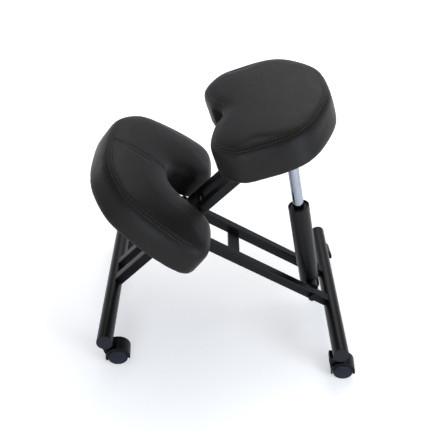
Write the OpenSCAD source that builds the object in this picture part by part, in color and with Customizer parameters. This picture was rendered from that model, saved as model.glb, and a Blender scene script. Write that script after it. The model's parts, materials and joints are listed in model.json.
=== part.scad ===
// Kneeling chair on an X frame with a gas lift and four twin-wheel casters.
// X runs across the chair, the sitter faces -Y, Z is up, and the floor is Z = 0.
// The chair is drawn near its full height.

/* [Frame] */
// Height of the centres of both crossbars above the floor
bar_z = 86.5; // [82:0.5:92]
// Y of the rear crossbar's centre
rear_y = 292.5; // [282.5:0.5:302.5]
// Y of the front crossbar's centre
front_y = -287.5; // [-297.5:0.5:-278.5]
// Length of each crossbar without its end caps
bar_len = 496; // [480:2:520]
// Width of the oval crossbar tube
bar_w = 38.8; // [36:0.2:42]
// Height of the oval crossbar tube
bar_h = 42.8; // [42.4:0.2:48]
// Wall of all the steel tubes
tube_wall = 2; // [1.5:0.1:3]
// Side of the square rail and arm tubes
rail = 25; // [22:0.5:28]
// Corner radius of the square tubes
rail_r = 3; // [2.5:0.1:4]
// X of the centre of each outer rail
rail_x = 58; // [58:0.5:62]
// X of the centre of each inner seat arm
arm_x = 32; // [31:0.5:32]
// How far the outer rails reach past the main pivot, under the knee pad
rail_reach = 205; // [180:1:225]

/* [Pivots] */
// Y of the main pivot, where rails and arms cross
pivot_y = -119; // [-123.5:0.5:-114.5]
// Height of the main pivot
pivot_z = 293.5; // [286:0.5:300]
// Diameter of the main pivot bolt and of the lift's lower bolt
bolt_d = 12; // [10:0.5:12]
// Distance of the lift's lower bolt from the main pivot, along the rails
foot_d = 397; // [390:1:402]
// Distance of the arm stay from the main pivot, along the arms
stay_d = 68.5; // [62:0.5:80]

/* [Gas lift] */
// Lean of the lift towards the sitter, in degrees
lift_lean = 15.5; // [14:0.5:17]
// Distance between the lift's lower and upper pins
lift_len = 433; // [430:1:436]
// Outside diameter of the black sleeve
sleeve_d = 53.6; // [52.4:0.2:55]
// Height of the sleeve's mouth above the lower bolt, along the lift
sleeve_top = 247; // [240:1:250]
// Height of the sleeve's lower edge above the lower bolt
sleeve_low = 61; // [55:1:75]
// Diameter of the chrome column
rod_d = 27.6; // [27:0.2:28]

/* [Seat] */
// Y of the middle of the seat cushion
seat_y = 61; // [58:0.5:64]
// Height of the middle of the seat cushion
seat_z = 609; // [607:0.5:614]
// Forward tilt of the seat, in degrees
seat_tilt = 22; // [21:0.5:24]
// Turn of the seat cushion on its plate, in degrees
seat_turn = 4; // [0:0.5:5]
// Thickness of the seat cushion, board included
seat_t = 86; // [82:1:90]

/* [Knee pad] */
// Y of the middle of the knee cushion
knee_y = -195; // [-197.5:0.5:-192.5]
// Height of the middle of the knee cushion
knee_z = 404; // [403:0.5:410]
// Slope of the knee pad down towards the seat, in degrees
knee_tilt = 32; // [31:0.5:33]
// Thickness of the knee cushion, board included
knee_t = 83; // [80:1:84]

/* [Casters] */
// Wheel diameter
wheel_d = 50; // [50:0.5:52]
// Width over both wheels
twin_w = 47; // [45:0.5:49]
// X of each front caster's stem
front_stem_x = 219; // [205:1:228]
// X of each rear caster's stem
rear_stem_x = 225; // [205:1:229]
// Swivel angle of the front casters at rest, in degrees
front_swivel = 4; // [-20:1:20]
// Swivel angle of the rear casters at rest, in degrees
rear_swivel = -4; // [-20:1:20]
// Distance from the stem's axis to the wheels' axle
trail = 22; // [20:0.5:24]

/* [Hidden] */
$fn = 48;

STEEL = [0.12, 0.12, 0.14];
PLASTIC = [0.09, 0.1, 0.13];
LEATHER = [0.2, 0.19, 0.19];
CHROME = [0.82, 0.84, 0.87];
ZINC = [0.6, 0.61, 0.62];
PLY = [0.72, 0.58, 0.4];

run = 0.05;                   // radial clearance of every running fit
gap = 0.4;                    // side clearance between moving faces
cap_t = 3;                    // thickness of a bar's end cap outside the tube
rail_in = rail_x - rail / 2;  // inner face of an outer rail
rail_out = rail_x + rail / 2;
arm_in = arm_x - rail / 2;    // inner face of a seat arm
arm_out = arm_x + rail / 2;
rail_angle = atan2(pivot_z - bar_z, rear_y - pivot_y);
arm_angle = atan2(pivot_z - bar_z, pivot_y - front_y);
rail_len = norm([pivot_z - bar_z, rear_y - pivot_y]);
arm_low = norm([pivot_z - bar_z, pivot_y - front_y]);
foot_y = pivot_y + foot_d * cos(rail_angle);
foot_z = pivot_z - foot_d * sin(rail_angle);
head_t = 7;                   // height of a bolt's hexagon head
washer_t = 1.6;
trunnion_r = 19;              // cross tube of the lift's foot
socket_r = sleeve_d / 2 - 1.6;
cylinder_r = 21.9;
rod_r = rod_d / 2;
board_t = 12;
board_in = 9;                 // a board's edge inside the cushion's outline
edge_top = 24;                // rounding of a cushion's upper edge
edge_low = 10;                // rounding of a cushion's lower edge
plate_t = 4;
pin_r = 5;                    // upper lift pin
pin_play = 3.4;               // play of the upper pin in the release head
lever_pin_x = -14;            // X of the lever's cross pin
lever_up = 12;                // lever's axis above the top of the column
lever_r = 3.5;
rod_end = lift_len - 36;      // top of the chrome column, from the lower bolt
stem_r = 4;
front_stem_in = 8;            // how far inwards of its bar's centre a front stem sits
rear_stem_in = 4;             // the same for a rear stem
wheel_r = wheel_d / 2;
web_w = 15;                   // width of a caster's middle web
hood_r = wheel_r + 5.5;
caster_top = bar_z - bar_h / 2;
lever_reach = 152;            // X of the end of the release lever's grip

// Half outlines of the cushions: X, then the distance along the cushion.
// The seat's list runs from the back to the front notch.
seat_half = [[0, 145], [70, 138], [130, 113], [184, 72], [208, 26],
             [212, -40], [201, -95], [140, -138], [58, -128], [0, -103]];
// The knee pad's list runs from the front to the bottom of its notch.
knee_half = [[0, -152], [64, -149], [122, -136], [176, -103], [208, -64],
             [232, 10], [242, 78], [234, 126], [206, 153], [156, 160],
             [104, 149], [70, 113], [55, 70], [32, 36], [0, 24]];

// ---- helpers --------------------------------------------------------------

// A half outline that starts and ends on X = 0, joined to its mirror image.
function whole(half) = concat(half, [for (i = [len(half) - 2:-1:1]) [-half[i][0], half[i][1]]]);

function spline_point(a, b, c, d, t) =
    0.5 * (2 * b + (c - a) * t + (2 * a - 5 * b + 4 * c - d) * t * t
           + (3 * b - a - 3 * c + d) * t * t * t);

// A closed smooth curve through the points, with n steps between each two.
function smooth(p, n) = let (m = len(p))
    [for (i = [0:m - 1], k = [0:n - 1])
        spline_point(p[(i + m - 1) % m], p[i], p[(i + 1) % m], p[(i + 2) % m], k / n)];

// Twice the area inside the outline, positive when it runs counter-clockwise.
function signed_area(p) = let (m = len(p), ones = [for (q = p) 1])
    ones * [for (i = [0:m - 1]) cross(p[i], p[(i + 1) % m])];

// The outline moved inwards by d, point by point.
function inset(p, d) = let (m = len(p), side = signed_area(p) > 0 ? 1 : -1)
    [for (i = [0:m - 1])
        let (t = p[(i + 1) % m] - p[(i + m - 1) % m], u = t / norm(t))
        p[i] + side * d * [-u[1], u[0]]];

function turned(p, a) =
    [for (q = p) [q[0] * cos(a) - q[1] * sin(a), q[0] * sin(a) + q[1] * cos(a)]];

function counter_clockwise(p) = signed_area(p) > 0
    ? p : [for (i = [len(p) - 1:-1:0]) p[i]];

// Moves children into a frame at (0, y, z) whose Y axis points up at angle a.
module lean_at(y, z, a) {
    translate([0, y, z]) rotate([a, 0, 0]) children();
}

module rounded_square(s, r) {
    square([s - 2 * r, s], center = true);
    square([s, s - 2 * r], center = true);
    for (x = [-1, 1], y = [-1, 1])
        translate([x * (s / 2 - r), y * (s / 2 - r)]) circle(r);
}

// Square tube along +Y from y0 to y1, centred on X = 0 and Z = 0.
module square_tube(y0, y1) {
    translate([0, y1, 0]) rotate([90, 0, 0]) linear_extrude(y1 - y0)
        difference() {
            rounded_square(rail, rail_r);
            rounded_square(rail - 2 * tube_wall, rail_r - tube_wall + 0.6);
        }
}

module oval(w, h) {
    for (s = [-1, 1]) translate([0, s * (h - w) / 2]) circle(w / 2);
    square([w, h - w], center = true);
}

// Oval bar along X, centred on the origin, with its height along Z.
module oval_bar(w, h, length) {
    rotate([90, 0, 90]) linear_extrude(length, center = true) oval(w, h);
}

// Round bar along X between two places.
module x_rod(r, x0, x1) {
    translate([x0, 0, 0]) rotate([0, 90, 0]) cylinder(r = r, h = x1 - x0);
}

module x_ring(r_out, r_in, x0, x1) {
    difference() {
        x_rod(r_out, x0, x1);
        x_rod(r_in, x0 - 1, x1 + 1);
    }
}

// Hexagon along X, across_flats wide.
module x_hex(across_flats, x0, x1) {
    translate([x0, 0, 0]) rotate([0, 90, 0])
        cylinder(d = across_flats / cos(30), h = x1 - x0, $fn = 6);
}

// A cushion: the outline p, t thick, with its edges rounded by r_top and r_low.
module pillow(p, t, r_top, r_low) {
    q = counter_clockwise(p);
    m = len(q);
    steps = 4;
    levels = concat(
        [for (i = [0:steps]) let (a = 90 * i / steps)
            [r_low * (1 - sin(a)), -t / 2 + r_low * (1 - cos(a))]],
        [for (i = [steps:-1:0]) let (a = 90 * i / steps)
            [r_top * (1 - sin(a)), t / 2 - r_top * (1 - cos(a))]]);
    n = len(levels);
    points = [for (l = levels) each [for (v = inset(q, l[0])) [v[0], v[1], l[1]]]];
    sides = [for (k = [0:n - 2], i = [0:m - 1])
        let (j = (i + 1) % m, low = k * m, high = (k + 1) * m)
        each [[low + i, high + i, high + j], [low + i, high + j, low + j]]];
    floor_face = [[for (i = [0:m - 1]) i]];
    roof_face = [[for (i = [m - 1:-1:0]) (n - 1) * m + i]];
    polyhedron(points, concat(floor_face, sides, roof_face), convexity = 6);
}

module at_pivot(a) { lean_at(pivot_y, pivot_z, a) children(); }
module at_foot(a) { lean_at(foot_y, foot_z, a) children(); }
module at_seat() { lean_at(seat_y, seat_z, seat_tilt) children(); }
module at_knee() { lean_at(knee_y, knee_z, -knee_tilt) children(); }

// ---- rear frame -----------------------------------------------------------

// Places children on the floor below a caster's stem, on the side of the bar
// that faces the middle of the chair.
module at_stem(side, y) {
    x = y < 0 ? front_stem_x : rear_stem_x;
    inwards = y < 0 ? front_stem_in : rear_stem_in;
    translate([side * x, y - sign(y) * inwards, 0]) children();
}

// Oval tube with a welded boss for each caster stem.
module crossbar(y) {
    difference() {
        union() {
            translate([0, y, bar_z]) oval_bar(bar_w, bar_h, bar_len);
            for (s = [-1, 1]) at_stem(s, y)
                translate([0, 0, caster_top]) cylinder(r = 9.5, h = bar_z - caster_top - 2);
        }
        translate([0, y, bar_z])
            oval_bar(bar_w - 2 * tube_wall, bar_h - 2 * tube_wall, bar_len + 2);
        for (s = [-1, 1]) at_stem(s, y)
            translate([0, 0, bar_z - bar_h]) cylinder(r = stem_r + 1.55, h = bar_h);
    }
}

// Two end caps: an outer rim and a plug inside the tube.
module bar_caps(y) {
    plug = 8;
    for (s = [-1, 1]) translate([s * bar_len / 2, y, bar_z]) {
        translate([s * cap_t / 2, 0, 0]) oval_bar(bar_w, bar_h, cap_t);
        translate([-s * plug / 2, 0, 0])
            oval_bar(bar_w - 2 * tube_wall - 0.2, bar_h - 2 * tube_wall - 0.2, plug);
    }
}

module rear_crossbar() color(STEEL) crossbar(rear_y);
module rear_bar_caps() color(PLASTIC) bar_caps(rear_y);

// side is -1 for the left rail and 1 for the right one.
module lower_rail(side) {
    color(STEEL) difference() {
        translate([side * rail_x, 0, 0]) at_pivot(-rail_angle)
            square_tube(-rail_reach, rail_len);
        translate([0, rear_y, bar_z]) oval_bar(bar_w, bar_h, bar_len);
        at_pivot(0) x_rod(bolt_d / 2 + run, -100, 100);
        at_foot(0) x_rod(bolt_d / 2 + run, -100, 100);
    }
}

// Plastic plugs in the open upper ends of the rails.
module rail_plugs() {
    inner = rail - 2 * tube_wall - 0.2;
    color(PLASTIC) for (side = [-1, 1])
        translate([side * rail_x, 0, 0]) at_pivot(-rail_angle)
            translate([0, -rail_reach, 0]) rotate([90, 0, 0]) {
                linear_extrude(2) rounded_square(rail, rail_r);
                translate([0, 0, -12]) linear_extrude(12)
                    rounded_square(inner, rail_r - tube_wall + 0.6);
            }
}

module cross_strap() {
    strap_w = 33;
    strap_t = 5;
    strap_d = 156.5;          // distance of its middle from the main pivot
    color(STEEL) at_pivot(-rail_angle)
        translate([-rail_in, strap_d - strap_w / 2, -3 - strap_t])
            cube([2 * rail_in, strap_w, strap_t]);
}

// Pressed carrier on the rails' upper ends: a plate against the knee board,
// and two side flanges welded along the inner faces of the rails.
module knee_plate() {
    plate_y0 = -118;
    plate_y1 = 2;
    color(STEEL) difference() {
        union() {
            at_knee() translate([-92, plate_y0, -knee_t / 2 - plate_t])
                cube([184, plate_y1 - plate_y0, plate_t]);
            for (s = [-1, 1])
                at_knee() translate([s * (rail_in - 1.5) - 1.5, plate_y0, -knee_t / 2 - plate_t - 30])
                    cube([3, plate_y1 - plate_y0, 31]);
        }
        for (x = [-78, 78], y = [-104, -12])
            at_knee() translate([x, y, -knee_t]) cylinder(r = 3.3, h = knee_t);
    }
}

module knee_outline() { polygon(smooth(inset(whole(knee_half), board_in), 3)); }

module knee_board() {
    color(PLY) difference() {
        at_knee() translate([0, 0, -knee_t / 2]) linear_extrude(board_t) knee_outline();
        for (x = [-78, 78], y = [-104, -12])
            at_knee() translate([x, y, -knee_t]) cylinder(r = 3, h = knee_t);
    }
}

module knee_cushion() {
    color(LEATHER) difference() {
        at_knee() pillow(smooth(whole(knee_half), 4), knee_t, edge_top, edge_low);
        at_knee() translate([0, 0, -knee_t / 2 - 1]) linear_extrude(board_t + 1.2)
            polygon(smooth(inset(whole(knee_half), board_in - 0.2), 3));
    }
}

// A pan-head screw along +Z with its head below Z = 0.
module pan_screw(length) {
    cylinder(r = 3, h = length);
    translate([0, 0, -3.4]) cylinder(r = 6, h = 3.4);
}

module knee_screws() {
    color(ZINC) at_knee() for (x = [-78, 78], y = [-104, -12])
        translate([x, y, -knee_t / 2 - plate_t]) pan_screw(plate_t + board_t - 1);
}

// ---- bolts across the frame -----------------------------------------------

module cross_bolt(reach) {
    x_rod(bolt_d / 2, -reach, rail_out + washer_t + 0.1);
    x_hex(19, rail_out + washer_t, rail_out + washer_t + head_t);
}

module cross_nut() {
    difference() {
        x_hex(19, -rail_out - washer_t - 10, -rail_out - washer_t);
        x_rod(bolt_d / 2 + run, -100, 0);
    }
}

module cross_washers(inner_x) {
    for (s = [-1, 1]) {
        mid = (rail_in + inner_x) / 2;
        thick = rail_in - inner_x - 2 * run;
        x_ring(14, bolt_d / 2 + run, s * mid - thick / 2, s * mid + thick / 2);
        far = rail_out + washer_t / 2;
        x_ring(12, bolt_d / 2 + run, s * far - washer_t / 2, s * far + washer_t / 2);
    }
}

module pivot_bolt() color(STEEL) at_pivot(0) cross_bolt(rail_out + washer_t + 12);
module pivot_nut() color(STEEL) at_pivot(0) cross_nut();
module pivot_washers() color(PLASTIC) at_pivot(0) cross_washers(arm_out);
module lift_bolt() color(ZINC) at_foot(0) cross_bolt(rail_out + washer_t + 12);
module lift_bolt_nut() color(ZINC) at_foot(0) cross_nut();
module lift_washers() color(PLASTIC) at_foot(0) cross_washers(rail_in - 1.5);

// ---- front frame with the seat --------------------------------------------

module front_crossbar() color(STEEL) crossbar(front_y);
module front_bar_caps() color(PLASTIC) bar_caps(front_y);

module seat_arm(side) {
    color(STEEL) difference() {
        translate([side * arm_x, 0, 0]) at_pivot(arm_angle)
            square_tube(-arm_low, 420);
        translate([0, front_y, bar_z]) oval_bar(bar_w, bar_h, bar_len);
        at_seat() translate([-100, -200, -seat_t / 2 - plate_t]) cube([200, 400, 200]);
        at_pivot(0) x_rod(bolt_d / 2 + run, -100, 100);
        at_pivot(arm_angle) translate([0, stay_d, 0]) x_rod(4 + run, -100, 100);
    }
}

// Tube welded between the arms: the bearing of the main pivot.
module pivot_spacer() color(STEEL) at_pivot(0) x_ring(11, bolt_d / 2 + run, -arm_in, arm_in);

module stay_spacer() {
    color(STEEL) at_pivot(arm_angle) translate([0, stay_d, 0])
        x_ring(8, 4 + run, -arm_in, arm_in);
}

module stay_bolt() {
    color(STEEL) at_pivot(arm_angle) translate([0, stay_d, 0]) {
        x_rod(4, -arm_out - 7, arm_out + 0.1);
        x_rod(7, arm_out, arm_out + 3);
        x_rod(5, arm_out + 3, arm_out + 4.5);
        x_hex(13, -arm_out - 6, -arm_out);
    }
}

// Pressed plate under the seat board, with two ears for the lift's upper pin.
module seat_plate() {
    color(STEEL) difference() {
        union() {
            at_seat() translate([-95, -62, -seat_t / 2 - plate_t]) cube([190, 140, plate_t]);
            for (s = [-1, 1]) at_foot(lift_lean) hull() {
                translate([s * 14.6, 0, lift_len]) x_rod(13, -1.5, 1.5);
                translate([s * 14.6, -16, lift_len + 40]) x_rod(9, -1.5, 1.5);
                translate([s * 14.6, 16, lift_len + 33]) x_rod(9, -1.5, 1.5);
            }
        }
        at_seat() translate([-100, -200, -seat_t / 2]) cube([200, 400, 100]);
        at_foot(lift_lean) translate([0, 0, lift_len]) x_rod(pin_r + run, -30, 30);
        for (x = [-78, 78], y = [-46, 62])
            at_seat() translate([x, y, -seat_t]) cylinder(r = 3.3, h = seat_t);
    }
}

module seat_board() {
    color(PLY) difference() {
        at_seat() translate([0, 0, -seat_t / 2]) linear_extrude(board_t)
            polygon(turned(smooth(inset(whole(seat_half), board_in), 3), seat_turn));
        for (x = [-78, 78], y = [-46, 62])
            at_seat() translate([x, y, -seat_t]) cylinder(r = 3, h = seat_t);
    }
}

module seat_cushion() {
    color(LEATHER) difference() {
        at_seat() pillow(turned(smooth(whole(seat_half), 4), seat_turn), seat_t, edge_top, edge_low);
        at_seat() translate([0, 0, -seat_t / 2 - 1]) linear_extrude(board_t + 1.2)
            polygon(turned(smooth(inset(whole(seat_half), board_in - 0.2), 3), seat_turn));
    }
}

module seat_screws() {
    color(ZINC) at_seat() for (x = [-78, 78], y = [-46, 62])
        translate([x, y, -seat_t / 2 - plate_t]) pan_screw(plate_t + board_t - 1);
}

module lift_pin() {
    color(ZINC) at_foot(lift_lean) translate([0, 0, lift_len]) {
        x_rod(pin_r, -16.8, 16.8);
    }
}

// ---- gas lift, along +Z from its lower bolt -------------------------------

module lift_socket() {
    color(STEEL) difference() {
        at_foot(lift_lean) union() {
            x_rod(trunnion_r, -rail_in + 1.5, rail_in - 1.5);
            translate([0, 0, -22]) cylinder(r = socket_r, h = 22 + sleeve_low + 25);
        }
        at_foot(lift_lean) translate([0, 0, trunnion_r + 4])
            cylinder(r = cylinder_r + 0.05, h = 200);
        at_foot(0) x_rod(bolt_d / 2 + run, -100, 100);
    }
}

module gas_cylinder() {
    color(STEEL) at_foot(lift_lean) difference() {
        translate([0, 0, trunnion_r + 4]) cylinder(r = cylinder_r, h = sleeve_top - trunnion_r - 16);
        translate([0, 0, trunnion_r + 10]) cylinder(r = rod_r + 3, h = 300);
    }
}

module lift_sleeve() {
    color(STEEL) at_foot(lift_lean) difference() {
        translate([0, 0, sleeve_low]) cylinder(r = sleeve_d / 2, h = sleeve_top - sleeve_low);
        translate([0, 0, sleeve_low - 1]) cylinder(r = sleeve_d / 2 - 1.5, h = 300);
    }
}

module lift_bush() {
    color(PLASTIC) at_foot(lift_lean) difference() {
        translate([0, 0, sleeve_top - 12]) cylinder(r = sleeve_d / 2 - 1.55, h = 8);
        translate([0, 0, sleeve_top - 13]) cylinder(r = rod_r + run, h = 20);
    }
}

module lift_rod() {
    color(CHROME) at_foot(lift_lean) difference() {
        translate([0, 0, 134]) cylinder(r = rod_r, h = rod_end - 134);
        translate([0, 0, rod_end - 16]) cylinder(r = 3 + run, h = 30);
    }
}

// Block on top of the column, with the eye for the upper pin and a slot for
// the lever's inner end, which presses the release button.
module release_head() {
    color(STEEL) at_foot(lift_lean) difference() {
        union() {
            translate([-19, -12, rod_end]) cube([31, 24, 20]);
            translate([0, 0, lift_len]) x_rod(12, -12, 12);
            translate([-12, -12, rod_end]) cube([24, 24, lift_len - rod_end]);
        }
        translate([0, 0, lift_len]) x_rod(pin_r + pin_play, -30, 30);
        translate([-20, -5, rod_end + 4]) cube([28, 10, 14]);
        translate([0, 0, rod_end - 1]) cylinder(r = 3 + 0.5, h = 8);
        translate([lever_pin_x, 0, rod_end + lever_up]) rotate([90, 0, 0])
            cylinder(r = 2 + run, h = 60, center = true);
    }
}

module release_button() {
    color(ZINC) at_foot(lift_lean) translate([0, 0, rod_end - 11.6])
        cylinder(r = 3, h = 11.6 + lever_up - lever_r - 0.1);
}

// Hand lever: a round bar that turns on a cross pin in the release head.
module release_lever() {
    color(STEEL) at_foot(lift_lean) translate([0, 0, rod_end + lever_up]) {
        translate([-lever_reach + 20, 0, 0]) rotate([0, 90, 0])
            cylinder(r = lever_r, h = lever_reach - 20 + 3);
        translate([lever_pin_x, 0, 0]) rotate([90, 0, 0])
            cylinder(r = 2, h = 25, center = true);
    }
}

module lever_grip() {
    color(PLASTIC) at_foot(lift_lean) translate([-lever_reach, 0, rod_end + lever_up])
        rotate([0, 90, 0]) difference() {
            union() {
                translate([0, 0, 4]) cylinder(r = 7, h = 58);
                cylinder(r1 = 5, r2 = 7, h = 4);
            }
            translate([0, 0, 20]) cylinder(r = lever_r, h = 60);
        }
}

// ---- casters --------------------------------------------------------------

// Places children at a caster, with its stem on the Z axis. Its trail is turned
// from +Y by the swivel angle at rest, the left one opposite to the right one.
module at_caster(side, y) {
    swivel = y < 0 ? front_swivel : rear_swivel;
    at_stem(side, y) rotate([0, 0, side * swivel]) children();
}

module at_axle() { translate([0, trail, wheel_r]) children(); }

module caster_stem() {
    color(ZINC) {
        translate([0, 0, 30]) cylinder(r = stem_r, h = 34);
        translate([0, 0, caster_top - 2.4]) cylinder(r = 9, h = 2.4);
        translate([0, 0, caster_top - 1]) cylinder(r = stem_r + 1.5, h = 30);
    }
}

// Hood over both wheels, with a tapered neck round the stem, a fairing down the
// stem's side of the wheels and a web between them that carries the axle.
module caster_hood() {
    hood_half = 21;           // half the hood's width
    fairing_half = 13;        // half the fairing's width
    neck_z = 27;              // foot of the neck
    neck_top = caster_top - 2.8;
    web_low = 10;             // lower edges of the web and of the shell's two ends
    stem_side_low = 14;
    trail_side_low = 22;
    color(PLASTIC) difference() {
        union() {
            at_axle() x_rod(hood_r, -hood_half, hood_half);
            translate([0, 0, neck_z]) cylinder(r1 = 9, r2 = 17, h = neck_top - neck_z);
            translate([-fairing_half, 0, 0]) rotate([90, 0, 90]) linear_extrude(2 * fairing_half)
                polygon([[-18, neck_top], [-18, neck_top - 10], [-5, stem_side_low],
                         [8, stem_side_low], [8, neck_top]]);
        }
        translate([-40, -60, -10]) cube([80, 120, 10 + web_low]);
        for (s = [-1, 1]) translate([s * (web_w / 2 + 25), 0, 0]) {
            at_axle() x_rod(wheel_r + 1, -25, 25);
            translate([-25, -60, -10]) cube([50, 60, 10 + stem_side_low]);
            translate([-25, -1, -10]) cube([50, 61, 10 + trail_side_low]);
        }
        translate([0, 0, 29]) cylinder(r = stem_r + run, h = 60);
        at_axle() x_rod(3.2, -60, 60);
    }
}

module caster_axle() color(ZINC) at_axle() x_rod(3.2 - run, -twin_w / 2 + 3, twin_w / 2 - 3);

// One wheel: rounded tread, dished outer face with a raised hub cap.
module caster_wheel(s) {
    inner = web_w / 2 + gap;
    outer = twin_w / 2;
    color(PLASTIC) at_axle() mirror([s < 0 ? 1 : 0, 0, 0]) rotate([90, 0, 90]) difference() {
        rotate_extrude() {
            translate([0, inner]) square([wheel_r - 2, outer - inner - 3]);
            translate([0, inner + 2]) square([wheel_r, outer - inner - 6]);
            translate([wheel_r - 2, inner + 2]) circle(2);
            translate([wheel_r - 4, outer - 4]) circle(4);
            translate([0, outer - 4]) square([wheel_r - 4, 4]);
        }
        translate([0, 0, 0]) cylinder(r = 3.2, h = outer - 2);
    }
}

// ---- what each node draws -------------------------------------------------

rear_crossbar();
rear_bar_caps();
lower_rail(-1);  // lower_rail_left
lower_rail(1);  // lower_rail_right
rail_plugs();
cross_strap();
knee_plate();
knee_board();
knee_cushion();
knee_screws();
pivot_bolt();
pivot_nut();
pivot_washers();
lift_bolt();
lift_bolt_nut();
lift_washers();
front_crossbar();
front_bar_caps();
seat_arm(-1);  // seat_arm_left
seat_arm(1);  // seat_arm_right
pivot_spacer();
stay_bolt();
stay_spacer();
seat_plate();
seat_board();
seat_cushion();
seat_screws();
lift_pin();
lift_socket();
gas_cylinder();
lift_sleeve();
lift_bush();
lift_rod();
release_head();
release_button();
release_lever();
lever_grip();
at_caster(-1, front_y) caster_stem();  // stem_front_left
at_caster(-1, front_y) caster_hood();  // hood_front_left
at_caster(-1, front_y) caster_axle();  // axle_front_left
at_caster(-1, front_y) caster_wheel(-1);  // wheel_a_front_left
at_caster(-1, front_y) caster_wheel(1);  // wheel_b_front_left
at_caster(1, front_y) caster_stem();  // stem_front_right
at_caster(1, front_y) caster_hood();  // hood_front_right
at_caster(1, front_y) caster_axle();  // axle_front_right
at_caster(1, front_y) caster_wheel(-1);  // wheel_a_front_right
at_caster(1, front_y) caster_wheel(1);  // wheel_b_front_right
at_caster(-1, rear_y) caster_stem();  // stem_rear_left
at_caster(-1, rear_y) caster_hood();  // hood_rear_left
at_caster(-1, rear_y) caster_axle();  // axle_rear_left
at_caster(-1, rear_y) caster_wheel(-1);  // wheel_a_rear_left
at_caster(-1, rear_y) caster_wheel(1);  // wheel_b_rear_left
at_caster(1, rear_y) caster_stem();  // stem_rear_right
at_caster(1, rear_y) caster_hood();  // hood_rear_right
at_caster(1, rear_y) caster_axle();  // axle_rear_right
at_caster(1, rear_y) caster_wheel(-1);  // wheel_a_rear_right
at_caster(1, rear_y) caster_wheel(1);  // wheel_b_rear_right
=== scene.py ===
"""Looks of a kneeling chair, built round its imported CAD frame. Lengths are in metres."""

import json
import math

import bmesh
import bpy
import numpy as np
from mathutils import Matrix, Vector
from mathutils.bvhtree import BVHTree
from mathutils.kdtree import KDTree


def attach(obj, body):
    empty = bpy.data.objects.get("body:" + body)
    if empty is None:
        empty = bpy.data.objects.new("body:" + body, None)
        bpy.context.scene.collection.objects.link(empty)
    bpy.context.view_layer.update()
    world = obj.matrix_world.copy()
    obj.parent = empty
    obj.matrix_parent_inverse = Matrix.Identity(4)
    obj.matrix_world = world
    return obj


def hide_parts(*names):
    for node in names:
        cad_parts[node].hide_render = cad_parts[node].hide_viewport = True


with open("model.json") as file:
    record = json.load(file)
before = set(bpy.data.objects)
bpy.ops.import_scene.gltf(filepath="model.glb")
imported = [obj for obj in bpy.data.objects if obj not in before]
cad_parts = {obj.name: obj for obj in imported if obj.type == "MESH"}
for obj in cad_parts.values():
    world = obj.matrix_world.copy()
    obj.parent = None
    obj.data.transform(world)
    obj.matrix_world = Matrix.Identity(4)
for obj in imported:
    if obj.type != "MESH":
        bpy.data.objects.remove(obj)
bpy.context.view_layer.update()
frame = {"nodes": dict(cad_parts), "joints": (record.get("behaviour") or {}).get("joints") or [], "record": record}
NODES = frame["nodes"]
JOINTS = {j["name"]: j for j in frame["joints"]}

# ---- camera ---------------------------------------------------------------

CAMERA_PLACE = (1.4187, -0.1204, 1.33196)
CAMERA_AZIMUTH = math.radians(-4.31)     # of the line of sight, from -X towards -Y
CAMERA_DROP = math.radians(36.43)        # of the line of sight below the horizon
CAMERA_ROLL = math.radians(6.29)
CAMERA_LENS = 55.65


def make_camera():
    data = bpy.data.cameras.new("camera")
    data.lens = CAMERA_LENS
    data.sensor_width = 36
    camera = bpy.data.objects.new("camera", data)
    bpy.context.scene.collection.objects.link(camera)
    forward = Vector((-math.cos(CAMERA_DROP) * math.cos(CAMERA_AZIMUTH),
                      -math.cos(CAMERA_DROP) * math.sin(CAMERA_AZIMUTH),
                      -math.sin(CAMERA_DROP)))
    right = forward.cross(Vector((0, 0, 1))).normalized()
    up = right.cross(forward)
    turned_right = math.cos(CAMERA_ROLL) * right + math.sin(CAMERA_ROLL) * up
    turned_up = -math.sin(CAMERA_ROLL) * right + math.cos(CAMERA_ROLL) * up
    turn = Matrix((turned_right, turned_up, -forward)).transposed()
    camera.matrix_world = Matrix.Translation(CAMERA_PLACE) @ turn.to_4x4()
    bpy.context.scene.camera = camera


# ---- material helpers -----------------------------------------------------

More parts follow.
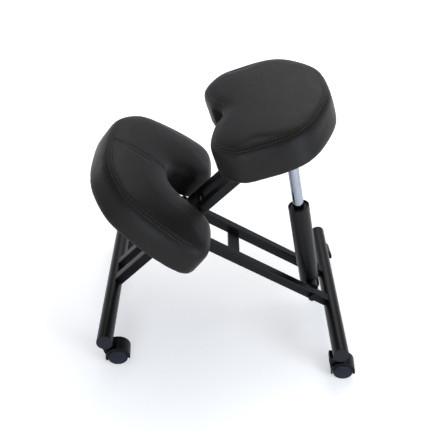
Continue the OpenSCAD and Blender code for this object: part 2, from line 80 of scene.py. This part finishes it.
class Paint:
    """A Principled material whose nodes are added one by one."""

    def __init__(self, name, color, roughness, metallic=0.0):
        self.material = bpy.data.materials.new(name)
        self.material.use_nodes = True
        self.tree = self.material.node_tree
        self.shader = self.tree.nodes["Principled BSDF"]
        self.set("Base Color", (*color, 1))
        self.set("Roughness", roughness)
        self.set("Metallic", metallic)
        self.material.diffuse_color = (*color, 1)
        self.place = self.tree.nodes.new("ShaderNodeTexCoord").outputs["Object"]
        self.heights = []

    def set(self, socket, value):
        self.shader.inputs[socket].default_value = value

    def join(self, out, into):
        self.tree.links.new(out, into)

    def noise(self, scale, detail=3.0, roughness=0.5, place=None):
        node = self.tree.nodes.new("ShaderNodeTexNoise")
        node.inputs["Scale"].default_value = scale
        node.inputs["Detail"].default_value = detail
        node.inputs["Roughness"].default_value = roughness
        self.join(place or self.place, node.inputs["Vector"])
        return node.outputs["Fac"]

    def cells(self, scale):
        node = self.tree.nodes.new("ShaderNodeTexVoronoi")
        node.inputs["Scale"].default_value = scale
        self.join(self.place, node.inputs["Vector"])
        return node.outputs["Distance"]

    def stretched(self, scale):
        node = self.tree.nodes.new("ShaderNodeMapping")
        node.inputs["Scale"].default_value = scale
        self.join(self.place, node.inputs["Vector"])
        return node.outputs["Vector"]

    def ramp(self, fac, stops):
        """A colour ramp from (position, colour) stops."""
        node = self.tree.nodes.new("ShaderNodeValToRGB")
        ramp = node.color_ramp
        while len(ramp.elements) < len(stops):
            ramp.elements.new(0.5)
        for element, (position, color) in zip(ramp.elements, stops):
            element.position = position
            element.color = (*color, 1)
        self.join(fac, node.inputs["Fac"])
        return node.outputs["Color"]

    def spread(self, fac, low, high):
        """fac from 0 to 1 becomes low to high."""
        node = self.tree.nodes.new("ShaderNodeMapRange")
        node.inputs["To Min"].default_value = low
        node.inputs["To Max"].default_value = high
        self.join(fac, node.inputs["Value"])
        return node.outputs["Result"]

    def vary_color(self, fac, stops):
        self.join(self.ramp(fac, stops), self.shader.inputs["Base Color"])

    def vary_roughness(self, fac, low, high):
        self.join(self.spread(fac, low, high), self.shader.inputs["Roughness"])

    def bump(self, height, depth, strength=1.0):
        """Adds a relief of that depth in metres, on top of the reliefs before it."""
        node = self.tree.nodes.new("ShaderNodeBump")
        node.inputs["Strength"].default_value = strength
        node.inputs["Distance"].default_value = depth
        self.join(height, node.inputs["Height"])
        if self.heights:
            self.join(self.heights[-1], node.inputs["Normal"])
        self.heights.append(node.outputs["Normal"])
        self.join(node.outputs["Normal"], self.shader.inputs["Normal"])


def leatherette(name, dark, light):
    """Black grained leatherette: pebble cells, fine creases and slow cloudy wear."""
    paint = Paint(name, dark, 0.45)
    cloud = paint.noise(9, 4, 0.6)
    paint.vary_color(cloud, [(0.3, dark), (0.7, light)])
    paint.vary_roughness(paint.noise(60, 5, 0.6), 0.36, 0.5)
    paint.set("Specular IOR Level", 0.1)
    paint.set("Sheen Weight", 0.02)
    paint.set("Sheen Roughness", 0.4)
    paint.bump(paint.noise(14, 3, 0.5), 0.0012, 0.3)
    paint.bump(paint.cells(620), 0.00016, 0.4)
    paint.bump(paint.noise(1400, 2, 0.5), 0.00007, 0.3)
    return paint.material


def powder_coat(name, color):
    """Satin powder coat with its fine orange peel."""
    paint = Paint(name, color, 0.34)
    brighter = tuple(1.5 * c for c in color)
    paint.vary_color(paint.noise(22, 4, 0.6), [(0.3, color), (0.75, brighter)])
    paint.vary_roughness(paint.noise(90, 4, 0.6), 0.27, 0.42)
    paint.set("Specular IOR Level", 0.19)
    paint.bump(paint.noise(900, 2, 0.5), 0.00012, 0.5)
    paint.bump(paint.cells(2200), 0.00005, 0.35)
    return paint.material


def moulded(name, color, roughness):
    """Moulded plastic with a fine spark-eroded texture."""
    paint = Paint(name, color, roughness)
    brighter = tuple(1.6 * c for c in color)
    paint.vary_color(paint.noise(40, 3, 0.5), [(0.3, color), (0.8, brighter)])
    paint.vary_roughness(paint.noise(160, 3, 0.5), roughness - 0.07, roughness + 0.08)
    paint.set("Specular IOR Level", 0.15)
    paint.bump(paint.noise(2600, 2, 0.6), 0.00008, 0.6)
    return paint.material


def chrome(name):
    """Polished chrome with faint lengthwise wipe marks."""
    paint = Paint(name, (0.29, 0.325, 0.375), 0.12, 1.0)
    streaks = paint.noise(30, 4, 0.6, paint.stretched((14, 14, 0.6)))
    paint.vary_color(streaks, [(0.2, (0.23, 0.26, 0.305)), (0.8, (0.36, 0.395, 0.445))])
    paint.vary_roughness(streaks, 0.07, 0.16)
    return paint.material


def zinc(name):
    """Zinc-plated steel: cloudy grey with rougher patches."""
    paint = Paint(name, (0.45, 0.46, 0.48), 0.35, 1.0)
    cloud = paint.noise(120, 5, 0.65)
    paint.vary_color(cloud, [(0.25, (0.34, 0.35, 0.37)), (0.8, (0.58, 0.59, 0.6))])
    paint.vary_roughness(cloud, 0.28, 0.5)
    paint.bump(paint.noise(700, 3, 0.6), 0.00005, 0.5)
    return paint.material


def plywood(name):
    """Birch plywood: long grain with darker fibres."""
    paint = Paint(name, (0.5, 0.36, 0.21), 0.62)
    grain = paint.noise(8, 8, 0.7, paint.stretched((30, 1.6, 8)))
    paint.vary_color(grain, [(0.3, (0.36, 0.23, 0.12)), (0.7, (0.6, 0.45, 0.28))])
    paint.vary_roughness(grain, 0.55, 0.72)
    paint.bump(grain, 0.0003, 0.5)
    return paint.material


def thread(name, color):
    """Twisted polyester thread."""
    paint = Paint(name, color, 0.5)
    twist = paint.noise(2400, 3, 0.6)
    brighter = tuple(1.7 * c for c in color)
    paint.vary_color(twist, [(0.3, color), (0.7, brighter)])
    paint.set("Sheen Weight", 0.2)
    paint.bump(twist, 0.0002, 0.7)
    return paint.material


def studio_floor(name):
    """White paper sweep that glows a little; it is a little darker around the chair, where a weaker glow paints a
    shadow.
    """
    paint = Paint(name, (0.86, 0.86, 0.865), 0.85)
    paint.set("Specular IOR Level", 0.15)
    paint.set("Emission Color", (1, 1, 1, 1))
    # Painted shadow: the glow grows from 0.2 at the centre to 0.6 a metre away, so the floor is darker under the
    # chair.
    painted_shadow_distance = paint.tree.nodes.new("ShaderNodeVectorMath")
    painted_shadow_distance.operation = "LENGTH"
    paint.join(paint.place, painted_shadow_distance.inputs[0])
    paint.join(paint.spread(painted_shadow_distance.outputs["Value"], 0.2, 0.6),
               paint.shader.inputs["Emission Strength"])
    return paint.material


LEATHER = leatherette("leatherette", (0.0088, 0.0080, 0.0077), (0.0125, 0.0114, 0.0110))
COAT = powder_coat("powder_coat", (0.0016, 0.0016, 0.0021))
PLASTIC = moulded("black_plastic", (0.0014, 0.0016, 0.0024), 0.42)
NYLON = moulded("nylon_wheel", (0.0014, 0.0017, 0.0025), 0.36)
HUB = moulded("hub_cap", (0.005, 0.0072, 0.0138), 0.3)
CAP = moulded("bar_cap", (0.0058, 0.0064, 0.0102), 0.4)
CHROME = chrome("chrome_rod")
ZINC = zinc("zinc_steel")
PLY = plywood("plywood")
THREAD = thread("thread", (0.005, 0.005, 0.0055))
SLOT_PAINT = {"powder_coat": COAT, "black_plastic": PLASTIC, "nylon_wheel": NYLON,
              "leatherette": LEATHER, "zinc_steel": ZINC, "chrome_rod": CHROME,
              "plywood": PLY}


def paint_cad_nodes():
    for part in frame["record"]["subparts"]:
        node = NODES[part["node"]]
        node.data.materials.clear()
        is_cap = part["node"].endswith("bar_caps")
        node.data.materials.append(CAP if is_cap else SLOT_PAINT[part["material_slot"]])


# ---- mesh helpers ---------------------------------------------------------

def make_object(name, points, faces, material, smooth=True):
    mesh = bpy.data.meshes.new(name)
    mesh.from_pydata([tuple(p) for p in points], [], faces)
    mesh.validate()
    mesh.materials.append(material)
    for polygon in mesh.polygons:
        polygon.use_smooth = smooth
    made = bpy.data.objects.new(name, mesh)
    bpy.context.scene.collection.objects.link(made)
    return made


def coordinates(made):
    points = np.zeros(len(made.data.vertices) * 3)
    made.data.vertices.foreach_get("co", points)
    return points.reshape(-1, 3)


def set_coordinates(made, points):
    made.data.vertices.foreach_set("co", np.asarray(points, float).ravel())
    made.data.update()


def apply_modifiers(made):
    depsgraph = bpy.context.evaluated_depsgraph_get()
    mesh = bpy.data.meshes.new_from_object(made.evaluated_get(depsgraph))
    made.modifiers.clear()
    made.data = mesh


def add_modifier(made, kind, **settings):
    modifier = made.modifiers.new(kind.lower(), kind)
    for key, value in settings.items():
        setattr(modifier, key, value)
    return modifier


WHEEL_SEGMENTS = 64


def lathe(profile, segments=WHEEL_SEGMENTS):
    """Points and faces of a profile of (radius, height) pairs turned about Z."""
    points = []
    for radius, height in profile:
        for i in range(segments):
            angle = 2 * math.pi * i / segments
            points.append((radius * math.cos(angle), radius * math.sin(angle), height))
    faces = []
    for k in range(len(profile) - 1):
        for i in range(segments):
            j = (i + 1) % segments
            faces.append((k * segments + i, k * segments + j,
                          (k + 1) * segments + j, (k + 1) * segments + i))
    faces.append(tuple(range(segments - 1, -1, -1)))
    last = (len(profile) - 1) * segments
    faces.append(tuple(range(last, last + segments)))
    return np.array(points), faces


def moved(points, matrix):
    return [matrix @ Vector(p) for p in points]


def along_axis(place, axis):
    """A matrix whose Z runs along axis, with its origin at place."""
    z = Vector(axis).normalized()
    x = Vector((0, 0, 1)).cross(z).normalized()
    y = z.cross(x)
    turn = Matrix((x, y, z)).transposed()
    return Matrix.Translation(place) @ turn.to_4x4()


# ---- cushions -------------------------------------------------------------

# Half outlines in the cushions' own planes, within some millimetres of the CAD's: X,
# then the distance along the cushion, in millimetres.
SEAT_HALF = ((0, 146), (70, 140), (130, 113), (184, 72), (208, 26),
             (212, -40), (202, -97), (142, -142), (60, -132), (0, -104))
KNEE_HALF = ((0, -152), (64, -149), (122, -136), (176, -103), (208, -64),
             (232, 10), (242, 78), (235, 127), (207, 153), (154, 160),
             (98, 154), (68, 117), (55, 72), (34, 38), (0, 26))


def whole(half):
    """The half outline joined to its mirror image, in metres."""
    points = np.array(half, float) / 1000
    other = points[-2:0:-1] * (-1, 1)
    return np.concatenate([points, other])


def smooth_loop(points, steps):
    """A closed Catmull-Rom curve through the points."""
    made = []
    n = len(points)
    for i in range(n):
        a, b, c, d = (points[(i + k) % n] for k in (-1, 0, 1, 2))
        for t in np.arange(steps) / steps:
            made.append(0.5 * (2 * b + (c - a) * t + (2 * a - 5 * b + 4 * c - d) * t * t
                               + (3 * b - a - 3 * c + d) * t ** 3))
    made = np.array(made)
    following = np.roll(made, -1, 0)
    area = np.sum(made[:, 0] * following[:, 1] - following[:, 0] * made[:, 1])
    return made if area > 0 else made[::-1]


def inset(loop, distance):
    along = np.roll(loop, -1, 0) - np.roll(loop, 1, 0)
    along /= np.linalg.norm(along, axis=1)[:, None]
    return loop + distance * np.stack([-along[:, 1], along[:, 0]], 1)


def turned(loop, degrees):
    angle = math.radians(degrees)
    c, s = math.cos(angle), math.sin(angle)
    return loop @ np.array([[c, s], [-s, c]])


BOARD_WRAP = 0.0012      # the cover goes this far below the board
SEAT_PLACE = (0, 0.061, 0.609)
SEAT_TILT = 22           # degrees about X
SEAT_TURN = 4            # degrees on its plate
SEAT_THICK = 0.086
KNEE_PLACE = (0, -0.195, 0.404)
KNEE_TILT = -32
KNEE_THICK = 0.083
COVER_INSET = 0.002      # start shape, inside the outline
LOW_ROUND = 0.006        # rounding of the lower edge
VOXEL = 0.0052           # size of the cloth's faces
CLOTH_FRAMES = 20
CLOTH_PRESSURE = 4
FOAM_OUT = 0.0022        # how far the foam lets the cover out, in and sideways
FOAM_IN = 0.0006
FOAM_SLIP = 0.0012


class Cushion:
    """A padded cushion in its own plane: X across, Y along and Z out of its top."""

    def __init__(self, name, node, outline, place, tilt, thick, body):
        self.name, self.node, self.body = name, node, body
        self.outline = outline
        self.thick = thick
        self.matrix = (Matrix.Translation(place)
                       @ Matrix.Rotation(math.radians(tilt), 4, "X"))

    def edge_distance(self, points):
        """How far each point is inside the outline, seen from above."""
        step = 4000
        found = np.zeros(len(points))
        a = self.outline
        b = np.roll(a, -1, 0)
        ab = b - a
        for k in range(0, len(points), step):
            p = points[k:k + step, None, :2]
            t = np.clip(((p - a) * ab).sum(2) / (ab * ab).sum(1), 0, 1)
            found[k:k + step] = np.linalg.norm(a + t[..., None] * ab - p, axis=2).min(1)
        return found

    def start_shape(self, pull, top, round_top, round_low):
        """A closed shell, pull inside the outline and with its flat top at height top."""
        bottom = -self.thick / 2 - BOARD_WRAP
        levels = []
        for angle in np.linspace(0, math.pi / 2, 7):
            levels.append((pull + round_low * (1 - math.sin(angle)),
                           bottom + round_low * (1 - math.cos(angle))))
        for angle in np.linspace(math.pi / 2, 0, 9):
            levels.append((pull + round_top * (1 - math.sin(angle)),
                           top - round_top * (1 - math.cos(angle))))
        n = len(self.outline)
        points = []
        for distance, height in levels:
            ring = inset(self.outline, distance)
            points += [(x, y, height) for x, y in ring]
        faces = []
        for k in range(len(levels) - 1):
            for i in range(n):
                j = (i + 1) % n
                faces.append((k * n + i, k * n + j, (k + 1) * n + j, (k + 1) * n + i))
        faces.append(tuple(range(n - 1, -1, -1)))
        last = (len(levels) - 1) * n
        faces.append(tuple(range(last, last + n)))
        self.made = make_object(self.name, points, faces, LEATHER)
        add_modifier(self.made, "REMESH", mode="VOXEL", voxel_size=VOXEL,
                     use_smooth_shade=True)
        add_modifier(self.made, "SMOOTH", factor=0.5, iterations=6)
        apply_modifiers(self.made)

    def crown(self, height, width):
        """Raises the top by up to height, width from its edge."""
        points = coordinates(self.made)
        inside = np.clip(self.edge_distance(points) / width, 0, 1)
        on_top = np.clip(points[:, 2] / (self.thick / 2), 0, 1)
        points[:, 2] += height * (1 - (1 - inside) ** 2) * on_top
        set_coordinates(self.made, points)

    def swell(self, pressure, most, dent, slip):
        """Blows the shell up as cloth, held at its bottom. The foam inside limits it: a
        point moves at most that far outwards, inwards (dent) and sideways (slip)."""
        before = coordinates(self.made)
        normals = np.zeros(before.size)
        self.made.data.vertices.foreach_get("normal", normals)
        normals = normals.reshape(-1, 3)
        bottom = -self.thick / 2
        held = self.made.vertex_groups.new(name="held")
        weights = np.clip(1 - (before[:, 2] - bottom - 0.004) / 0.012, 0, 1)
        for i, weight in enumerate(weights):
            if weight > 0:
                held.add([i], float(weight), "REPLACE")
        modifier = self.made.modifiers.new("cloth", "CLOTH")
        cloth = modifier.settings
        cloth.quality = 5
        cloth.mass = 0.3
        cloth.tension_stiffness = 18
        cloth.compression_stiffness = 18
        cloth.shear_stiffness = 8
        cloth.bending_stiffness = 1.2
        cloth.use_pressure = True
        cloth.uniform_pressure_force = pressure
        cloth.effector_weights.gravity = 0
        cloth.vertex_group_mass = "held"
        modifier.collision_settings.use_collision = False
        for number in range(1, CLOTH_FRAMES + 1):
            bpy.context.scene.frame_set(number)
        apply_modifiers(self.made)
        bpy.context.scene.frame_set(1)
        self.made.vertex_groups.clear()
        step = coordinates(self.made) - before
        length = np.linalg.norm(step, axis=1)[:, None]
        print(self.name, "swelled by up to", round(float(length.max()) * 1000, 1), "mm")
        step = self.evened(step) * np.clip((before[:, 2:] - bottom - 0.01) / 0.02, 0, 1)
        outwards = (step * normals).sum(1)[:, None]
        along = step - outwards * normals
        outwards = np.where(outwards > 0, most * np.tanh(outwards / most),
                            dent * np.tanh(outwards / dent))
        size = np.maximum(np.linalg.norm(along, axis=1)[:, None], 1e-9)
        set_coordinates(self.made, before + outwards * normals
                        + along * slip * np.tanh(size / slip) / size)

    def evened(self, field, rounds=14):
        """The field on the vertices, averaged with its neighbours: short kinks go."""
        ends = np.zeros(2 * len(self.made.data.edges), int)
        self.made.data.edges.foreach_get("vertices", ends)
        first, second = ends.reshape(-1, 2).T
        count = np.bincount(ends, minlength=len(field))[:, None] + 1
        for _ in range(rounds):
            total = field.copy()
            np.add.at(total, first, field[second])
            np.add.at(total, second, field[first])
            field = total / count
        return field

    def refine(self):
        add_modifier(self.made, "SMOOTH", factor=0.4, iterations=2)
        add_modifier(self.made, "SUBSURF", levels=1, render_levels=1)
        apply_modifiers(self.made)
        self.tree = None

    def surface(self):
        if self.tree is None:
            points = [Vector(p) for p in coordinates(self.made)]
            faces = [tuple(p.vertices) for p in self.made.data.polygons]
            self.tree = BVHTree.FromPolygons(points, faces)
        return self.tree

    def on_surface(self, path):
        """The nearest surface points to a path, and their normals."""
        tree = self.surface()
        found = [tree.find_nearest(Vector(p))[:2] for p in path]
        return np.array([f[0] for f in found]), np.array([f[1] for f in found])

    def sharpen(self, paths):
        """Divides the faces near the seams, so that they can take fine grooves."""
        for reach in (0.011, 0.008):
            near = KDTree(sum(len(path) for path in paths))
            for i, point in enumerate(np.concatenate(paths)):
                near.insert(point, i)
            near.balance()
            mesh = bmesh.new()
            mesh.from_mesh(self.made.data)
            close = set()
            for vertex in mesh.verts:
                if near.find(vertex.co)[2] < reach:
                    close.update(vertex.link_edges)
            bmesh.ops.subdivide_edges(mesh, edges=list(close), cuts=1, use_grid_fill=True,
                                      smooth=0.0)
            mesh.to_mesh(self.made.data)
            mesh.free()
        self.tree = None

    def groove(self, path, depth, width):
        """Presses the surface in along a path of surface points."""
        near = KDTree(len(path))
        for i, point in enumerate(path):
            near.insert(point, i)
        near.balance()
        points = coordinates(self.made)
        normals = np.zeros(len(points) * 3)
        self.made.data.vertices.foreach_get("normal", normals)
        normals = normals.reshape(-1, 3)
        low, high = path.min(0) - 4 * width, path.max(0) + 4 * width
        for i in np.all((points > low) & (points < high), axis=1).nonzero()[0]:
            away = near.find(points[i])[2]
            if away < 3.5 * width:
                points[i] -= normals[i] * depth * math.exp(-(away / width) ** 2)
        set_coordinates(self.made, points)
        self.tree = None

    def finish(self):
        self.made.data.transform(self.matrix)
        for polygon in self.made.data.polygons:
            polygon.use_smooth = True
        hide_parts(self.node)
        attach(self.made, self.body)


def resample(path, step, closed):
    """The path again with its points step apart."""
    if closed:
        path = np.concatenate([path, path[:1]])
    length = np.concatenate([[0], np.cumsum(np.linalg.norm(np.diff(path, axis=0), axis=1))])
    count = max(2, round(length[-1] / step))
    places = np.linspace(0, length[-1], count + 1)
    if closed:
        places = places[:-1]
    return np.stack([np.interp(places, length, path[:, k]) for k in range(3)], 1)


def sideways(path, normals, distance, closed):
    """The path moved along the surface, to its left."""
    if closed:
        along = np.roll(path, -1, 0) - np.roll(path, 1, 0)
    else:
        along = np.gradient(path, axis=0)
    across = np.cross(normals, along)
    across /= np.linalg.norm(across, axis=1)[:, None]
    return path + distance * across


STITCH = 0.0052          # length of one stitch with its gap
STITCH_ROW = 0.0042      # a row's distance from the seam
ROW_DEPTH = 0.0011       # how far a row of stitches pulls the cover in
ROW_WIDTH = 0.0011
SEAM_DEPTH = 0.0004
SEAM_WIDTH = 0.0007


def stitch_row(cushion, path, closed, points, faces):
    """Adds one capsule for each stitch of a row to the lists points and faces."""
    path = resample(path, STITCH, closed)
    path, normals = cushion.on_surface(path)
    count = len(path) if closed else len(path) - 1
    ring = 6
    half = (0.0, 0.5, 0.85, 1.0, 1.0, 0.85, 0.5, 0.0)
    for i in range(count):
        a, b = path[i], path[(i + 1) % len(path)]
        normal = normals[i]
        along = (b - a) * 0.74
        start = a + (b - a) * 0.13
        side = np.cross(normal, along)
        side /= np.linalg.norm(side)
        first = len(points)
        for k, swell in enumerate(half):
            t = k / (len(half) - 1)
            radius = 0.00048 * math.sqrt(swell) + 0.00004
            sink = 0.00035 * (2 * t - 1) ** 2
            centre = start + along * t + normal * (0.0002 - sink)
            for m in range(ring):
                angle = 2 * math.pi * m / ring
                points.append(centre + radius * (math.cos(angle) * side
                                                 + math.sin(angle) * normal))
        for k in range(len(half) - 1):
            for m in range(ring):
                n = (m + 1) % ring
                faces.append((first + k * ring + m, first + k * ring + n,
                              first + (k + 1) * ring + n, first + (k + 1) * ring + m))


def sew(cushion, seams, creases=()):
    """Seams of (path, closed): a groove with a row of stitches on each side."""
    settled = []
    for path, closed in seams:
        path, normals = cushion.on_surface(resample(path, 0.004, closed))
        settled.append((path, normals, closed))
    cushion.sharpen([path for path, _, _ in settled])
    for path, normals, closed in settled:
        for distance in (-STITCH_ROW, STITCH_ROW):
            row = sideways(path, normals, distance, closed)
            cushion.groove(resample(row, 0.0015, closed), ROW_DEPTH, ROW_WIDTH)
        cushion.groove(resample(path, 0.0015, closed), SEAM_DEPTH, SEAM_WIDTH)
    for path, depth, width in creases:
        path, normals = cushion.on_surface(resample(path, 0.004, False))
        cushion.groove(resample(path, 0.002, False), depth, width)
    points, faces = [], []
    for path, normals, closed in settled:
        for distance in (-STITCH_ROW, STITCH_ROW):
            stitch_row(cushion, sideways(path, normals, distance, closed), closed,
                       points, faces)
    stitches = make_object(cushion.name + "_stitches", points, faces, THREAD)
    stitches.data.transform(cushion.matrix)
    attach(stitches, cushion.body)


def ring_path(outline, distance, height):
    ring = inset(outline, distance)
    return np.concatenate([ring, np.full((len(ring), 1), height)], 1)


def make_seat():
    outline = turned(smooth_loop(whole(SEAT_HALF), 8), SEAT_TURN)
    cushion = Cushion("seat_cover", "seat_cushion", outline, SEAT_PLACE, SEAT_TILT,
                      SEAT_THICK, "seat_frame")
    cushion.start_shape(COVER_INSET, top=0.038, round_top=0.019, round_low=LOW_ROUND)
    cushion.crown(height=0.007, width=0.12)
    cushion.swell(CLOTH_PRESSURE, FOAM_OUT, FOAM_IN, FOAM_SLIP)
    cushion.refine()
    sew(cushion, [(ring_path(outline, 0.013, 0.036), True)])
    cushion.finish()


def make_knee_pad():
    outline = smooth_loop(whole(KNEE_HALF), 8)
    cushion = Cushion("knee_cover", "knee_cushion", outline, KNEE_PLACE, KNEE_TILT,
                      KNEE_THICK, "base")
    cushion.start_shape(COVER_INSET, top=0.037, round_top=0.024, round_low=LOW_ROUND)
    cushion.crown(height=0.011, width=0.11)
    cushion.swell(CLOTH_PRESSURE, FOAM_OUT, FOAM_IN, FOAM_SLIP)
    cushion.refine()
    ring = ring_path(outline, 0.006, 0.042)
    outer = ring[(ring[:, 1] < 0.1) & ((np.abs(ring[:, 0]) > 0.11) | (ring[:, 1] < -0.05))]
    order = np.argsort(np.arctan2(outer[:, 0], -outer[:, 1]))
    side_seam = outer[order]
    painted_shadow_distance = np.array([(0, y, 0.05) for y in np.linspace(-0.144, 0.018, 40)])
    crease = np.array([(0.02, y, 0.05) for y in np.linspace(-0.12, -0.04, 20)])
    sew(cushion, [(side_seam, False), (painted_shadow_distance, False)], [(crease, 0.0006, 0.004)])
    cushion.finish()


# ---- casters --------------------------------------------------------------

WHEEL_R = 0.025
TWIN_HALF = 0.0235
WEB_HALF = 0.0075


def wheel_profile():
    """A wheel's section from its inner to its outer face, radius and height in metres."""
    tread = [(0.0035, WEB_HALF + 0.0006), (0.018, WEB_HALF + 0.0006),
             (0.021, WEB_HALF + 0.0008), (0.0235, WEB_HALF + 0.0012)]
    corner = 0.0024
    for angle in np.linspace(-60, 90, 9):
        a = math.radians(angle)
        tread.append((WHEEL_R - corner + corner * math.cos(a),
                      TWIN_HALF - 0.001 - corner + corner * math.sin(a)))
    tread += [(0.0223, TWIN_HALF - 0.0014), (0.0221, TWIN_HALF - 0.003),
              (0.0036, TWIN_HALF - 0.0032)]
    return tread


def hub_profile():
    """A slightly domed cap that fills the wheel's outer face, with a rounded rim."""
    return [(0.0217, TWIN_HALF - 0.004), (0.0219, TWIN_HALF - 0.0014),
            (0.0216, TWIN_HALF - 0.0007), (0.0209, TWIN_HALF - 0.0003),
            (0.0200, TWIN_HALF - 0.0003), (0.0194, TWIN_HALF - 0.0006),
            (0.0186, TWIN_HALF - 0.0004), (0.0140, TWIN_HALF + 0.0001),
            (0.0080, TWIN_HALF + 0.0004), (0.0008, TWIN_HALF + 0.0005)]


def make_wheels():
    for name, joint in JOINTS.items():
        if not name.startswith("spin_"):
            continue
        body = joint["child"]
        side = -1 if name.startswith("spin_a") else 1
        matrix = along_axis(joint["pos_m"], [side * a for a in joint["axis"]])
        points, faces = lathe(wheel_profile())
        tread = make_object(body + "_tread", moved(points, matrix), faces, NYLON)
        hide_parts(body)
        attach(tread, body)
        points, faces = lathe(hub_profile())
        hub = make_object(body + "_hub_cap", moved(points, matrix), faces, HUB)
        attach(hub, body)


# ---- studio ---------------------------------------------------------------

def make_floor():
    half = 12
    floor = make_object("floor", [(-half, -half, 0), (half, -half, 0), (half, half, 0),
                                  (-half, half, 0)], [(0, 1, 2, 3)],
                        studio_floor("floor_paper"))


def area_light(name, place, target, size, power, color):
    data = bpy.data.lights.new(name, "AREA")
    data.shape = "SQUARE"
    data.size = size
    data.energy = power
    data.color = color
    light = bpy.data.objects.new(name, data)
    bpy.context.scene.collection.objects.link(light)
    away = Vector(target) - Vector(place)
    light.matrix_world = (Matrix.Translation(place)
                          @ away.to_track_quat("-Z", "Y").to_matrix().to_4x4())


def make_world():
    world = bpy.data.worlds.new("studio")
    bpy.context.scene.world = world
    world.use_nodes = True
    tree = world.node_tree
    back = tree.nodes["Background"]
    place = tree.nodes.new("ShaderNodeTexCoord")
    parts = tree.nodes.new("ShaderNodeSeparateXYZ")
    ramp = tree.nodes.new("ShaderNodeValToRGB")
    bands = ((0.0, (0.66, 0.71, 0.8, 1)), (0.3, (0.6, 0.63, 0.68, 1)),
             (0.6, (0.42, 0.43, 0.45, 1)), (1.0, (0.5, 0.5, 0.5, 1)))
    while len(ramp.color_ramp.elements) < len(bands):
        ramp.color_ramp.elements.new(0.5)
    for element, (height, color) in zip(ramp.color_ramp.elements, bands):
        element.position = height
        element.color = color
    tree.links.new(place.outputs["Generated"], parts.inputs["Vector"])
    tree.links.new(parts.outputs["Z"], ramp.inputs["Fac"])
    tree.links.new(ramp.outputs["Color"], back.inputs["Color"])
    back.inputs["Strength"].default_value = 1


def make_lights():
    area_light("window", (-1.6, 0.15, 2.4), (0, 0, 0.3), 2.0, 30, (1, 0.97, 0.93))
    area_light("right_fill", (1.6, 1.9, 0.75), (0, 0, 0.45), 1.3, 36, (0.8, 0.88, 1))
    area_light("front_fill", (2.4, -0.6, 0.6), (0, 0, 0.4), 1.2, 26, (0.8, 0.88, 1))


make_camera()
make_world()
make_lights()
make_floor()
paint_cad_nodes()
make_seat()
make_knee_pad()
make_wheels()
bpy.context.scene.view_settings.view_transform = "Standard"
